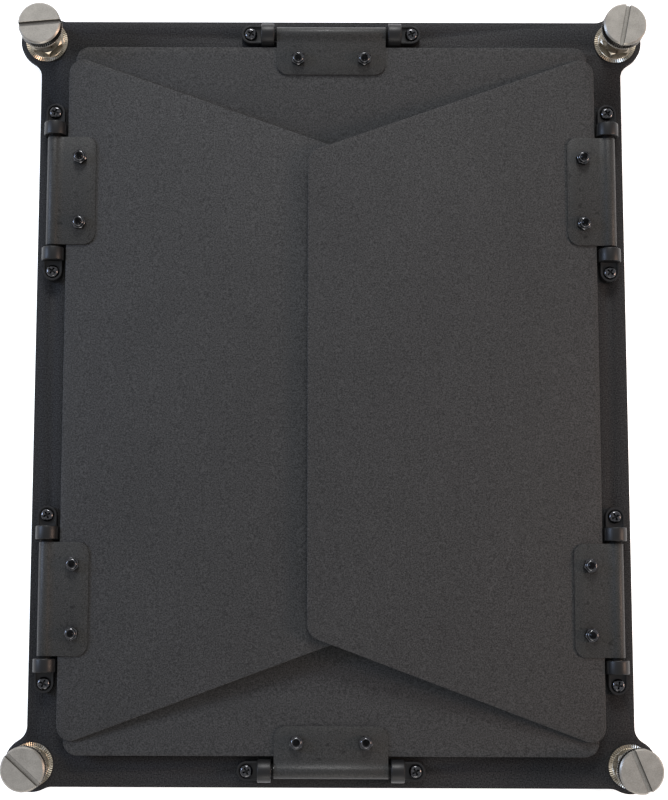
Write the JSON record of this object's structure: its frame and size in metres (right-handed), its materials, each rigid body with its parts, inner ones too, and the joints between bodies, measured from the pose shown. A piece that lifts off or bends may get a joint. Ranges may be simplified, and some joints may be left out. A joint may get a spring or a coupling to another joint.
{
  "type": "barn door set",
  "caption": "Folding metal leaves hinged round a rectangular frame with sprung thumbscrews, for shaping the light of a flat studio lamp.",
  "frame": {"origin": "centre of the corner screw pattern, on the frame's back face", "axes": "+Z away from the lamp, towards the leaves; +X across the short side; +Y along the long side"},
  "size_m": [0.3594, 0.4418, 0.0415],
  "materials": {
    "powder_coat": "fine-textured matt black powder coat",
    "leaf_coat": "satin black coat",
    "block_black": "semi-gloss black",
    "screw_black": "gloss black",
    "pin_steel": "ground",
    "polymer": "plain",
    "fastener_oxide": "black oxide",
    "knob_steel": "turned, satin nickel",
    "spring_steel": "drawn wire",
    "corner_hardware": "zinc plated"
  },
  "bodies": {
    "frame_body": {"corner_bushings": "corner_hardware", "corner_hex_nuts": "corner_hardware", "frame": "powder_coat", "hinge_pin_bottom": "pin_steel", "hinge_pin_left_lower": "pin_steel", "hinge_pin_left_upper": "pin_steel", "hinge_pin_right_lower": "pin_steel", "hinge_pin_right_upper": "pin_steel", "hinge_pin_top": "pin_steel", "hinge_spacers": "polymer", "pivot_block_bottom_a": "block_black", "pivot_block_bottom_b": "block_black", "pivot_block_left_lower_a": "block_black", "pivot_block_left_lower_b": "block_black", "pivot_block_left_upper_a": "block_black", "pivot_block_left_upper_b": "block_black", "pivot_block_right_lower_a": "block_black", "pivot_block_right_lower_b": "block_black", "pivot_block_right_upper_a": "block_black", "pivot_block_right_upper_b": "block_black", "pivot_block_top_a": "block_black", "pivot_block_top_b": "block_black", "pivot_screws_bottom": "screw_black", "pivot_screws_left": "screw_black", "pivot_screws_right": "screw_black", "pivot_screws_top": "screw_black", "serrated_washers": "corner_hardware", "spring_bottom_left": "spring_steel", "spring_bottom_right": "spring_steel", "spring_top_left": "spring_steel", "spring_top_right": "spring_steel"},
    "right_leaf": {"door_right": "powder_coat", "hinge_leaf_right_lower": "leaf_coat", "hinge_leaf_right_upper": "leaf_coat", "leaf_bolts_right": "fastener_oxide", "lock_nuts_right": "fastener_oxide"},
    "left_leaf": {"door_left": "powder_coat", "hinge_leaf_left_lower": "leaf_coat", "hinge_leaf_left_upper": "leaf_coat", "leaf_bolts_left": "fastener_oxide", "lock_nuts_left": "fastener_oxide"},
    "top_leaf": {"door_top": "powder_coat", "hinge_leaf_top": "leaf_coat", "leaf_bolts_top": "fastener_oxide", "lock_nuts_top": "fastener_oxide"},
    "bottom_leaf": {"door_bottom": "powder_coat", "hinge_leaf_bottom": "leaf_coat", "leaf_bolts_bottom": "fastener_oxide", "lock_nuts_bottom": "fastener_oxide"},
    "top_left_plunger": {"thrust_washer_top_left": "polymer"},
    "top_left_thumbscrew": {"thumbscrew_top_left": "knob_steel"},
    "top_right_plunger": {"thrust_washer_top_right": "polymer"},
    "top_right_thumbscrew": {"thumbscrew_top_right": "knob_steel"},
    "bottom_left_plunger": {"thrust_washer_bottom_left": "polymer"},
    "bottom_left_thumbscrew": {"thumbscrew_bottom_left": "knob_steel"},
    "bottom_right_plunger": {"thrust_washer_bottom_right": "polymer"},
    "bottom_right_thumbscrew": {"thumbscrew_bottom_right": "knob_steel"}
  },
  "joints": [
    {"name": "right_door_hinge", "type": "hinge", "parent": "frame_body", "child": "right_leaf", "pos_m": [0.158, 0, 0.009], "axis": [0, 1, 0], "range_deg": [0, 180]},
    {"name": "left_door_hinge", "type": "hinge", "parent": "frame_body", "child": "left_leaf", "pos_m": [-0.158, 0, 0.009], "axis": [0, -1, 0], "range_deg": [0, 180]},
    {"name": "top_door_hinge", "type": "hinge", "parent": "frame_body", "child": "top_leaf", "pos_m": [0, 0.2085, 0.009], "axis": [-1, 0, 0], "range_deg": [0, 180]},
    {"name": "bottom_door_hinge", "type": "hinge", "parent": "frame_body", "child": "bottom_leaf", "pos_m": [0, -0.2085, 0.009], "axis": [1, 0, 0], "range_deg": [0, 180]},
    {"name": "top_left_press", "type": "slide", "parent": "frame_body", "child": "top_left_plunger", "axis": [0, 0, -1], "range_m": [0, 0.0065], "stiffness_N_per_m": 1500, "springref_m": -0.008, "deforming": ["spring_top_left"]},
    {"name": "top_left_turn", "type": "hinge", "parent": "top_left_plunger", "child": "top_left_thumbscrew", "pos_m": [-0.1647, 0.2059, 0], "axis": [0, 0, 1], "continuous": true},
    {"name": "top_right_press", "type": "slide", "parent": "frame_body", "child": "top_right_plunger", "axis": [0, 0, -1], "range_m": [0, 0.0065], "stiffness_N_per_m": 1500, "springref_m": -0.008, "deforming": ["spring_top_right"]},
    {"name": "top_right_turn", "type": "hinge", "parent": "top_right_plunger", "child": "top_right_thumbscrew", "pos_m": [0.1647, 0.2059, 0], "axis": [0, 0, 1], "continuous": true},
    {"name": "bottom_left_press", "type": "slide", "parent": "frame_body", "child": "bottom_left_plunger", "axis": [0, 0, -1], "range_m": [0, 0.0065], "stiffness_N_per_m": 1500, "springref_m": -0.008, "deforming": ["spring_bottom_left"]},
    {"name": "bottom_left_turn", "type": "hinge", "parent": "bottom_left_plunger", "child": "bottom_left_thumbscrew", "pos_m": [-0.1647, -0.2059, 0], "axis": [0, 0, 1], "continuous": true},
    {"name": "bottom_right_press", "type": "slide", "parent": "frame_body", "child": "bottom_right_plunger", "axis": [0, 0, -1], "range_m": [0, 0.0065], "stiffness_N_per_m": 1500, "springref_m": -0.008, "deforming": ["spring_bottom_right"]},
    {"name": "bottom_right_turn", "type": "hinge", "parent": "bottom_right_plunger", "child": "bottom_right_thumbscrew", "pos_m": [0.1647, -0.2059, 0], "axis": [0, 0, 1], "continuous": true}
  ],
  "couplings": [
    {"joint": "left_door_hinge", "follows": "right_door_hinge", "ratio": 0.8},
    {"joint": "top_door_hinge", "follows": "right_door_hinge", "ratio": 0.3},
    {"joint": "bottom_door_hinge", "follows": "right_door_hinge", "ratio": 0.3}
  ]
}
